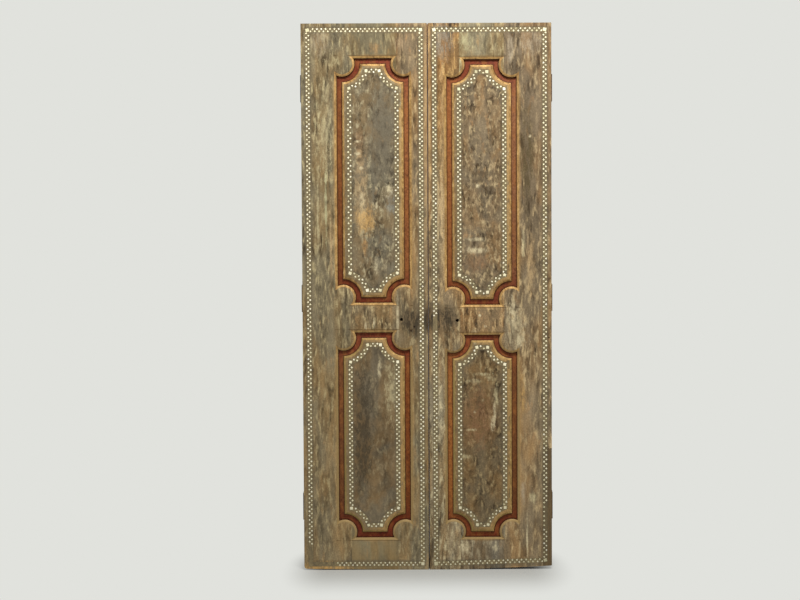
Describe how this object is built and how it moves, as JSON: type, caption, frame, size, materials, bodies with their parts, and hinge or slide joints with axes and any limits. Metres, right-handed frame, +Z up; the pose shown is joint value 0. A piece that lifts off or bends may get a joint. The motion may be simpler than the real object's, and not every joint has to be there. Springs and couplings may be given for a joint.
{
  "type": "carved temple door",
  "caption": "Tall carved temple door with raised lobed panels, gilded edges and shell inlay; its leaves swing on iron butt hinges made to be screwed to a jamb.",
  "frame": {"origin": "middle of the door's bounding box at the foot, hinges included", "axes": "+X to the right seen from the front, +Y from the carved front to the back, +Z up"},
  "size_m": [0.9442, 0.0494, 2.05],
  "materials": {
    "carved_wood": "worn paint over old wood, with gilding on the chamfers and red lacquer in the channels",
    "peg_wood": "bare, darkened",
    "patch_wood": "bare, dark, worn",
    "shell": "polished mother of pearl, worn",
    "mastic": "dark resin filler, matt",
    "iron": "wrought iron, dark, lightly rusted"
  },
  "bodies": {
    "jamb_side": {"left_jamb_flaps": "iron", "left_hinge_pins": "iron", "right_jamb_flaps": "iron", "right_hinge_pins": "iron"},
    "left_leaf": {"left_outer_stile": "carved_wood", "left_meeting_stile": "carved_wood", "left_top_rail": "carved_wood", "left_lock_rail": "carved_wood", "left_bottom_rail": "carved_wood", "left_upper_panel": "carved_wood", "left_lower_panel": "carved_wood", "left_tenon_pegs": "peg_wood", "left_border_mastic": "mastic", "left_border_shells": "shell", "left_upper_mastic": "mastic", "left_upper_shells": "shell", "left_lower_mastic": "mastic", "left_lower_shells": "shell", "left_leaf_flaps": "iron", "left_flap_screws": "iron"},
    "right_leaf": {"right_outer_stile": "carved_wood", "right_meeting_stile": "carved_wood", "right_top_rail": "carved_wood", "right_lock_rail": "carved_wood", "right_bottom_rail": "carved_wood", "right_upper_panel": "carved_wood", "right_lower_panel": "carved_wood", "right_tenon_pegs": "peg_wood", "right_edge_patch": "patch_wood", "right_border_mastic": "mastic", "right_border_shells": "shell", "right_upper_mastic": "mastic", "right_upper_shells": "shell", "right_lower_mastic": "mastic", "right_lower_shells": "shell", "right_leaf_flaps": "iron", "right_flap_screws": "iron"}
  },
  "joints": [
    {"name": "left_leaf_swing", "type": "hinge", "parent": "jamb_side", "child": "left_leaf", "pos_m": [-0.4676, 0.02025, 1.025], "axis": [0, 0, 1], "range_deg": [0, 100]},
    {"name": "right_leaf_swing", "type": "hinge", "parent": "jamb_side", "child": "right_leaf", "pos_m": [0.4676, 0.02025, 1.025], "axis": [0, 0, -1], "range_deg": [0, 100]}
  ]
}
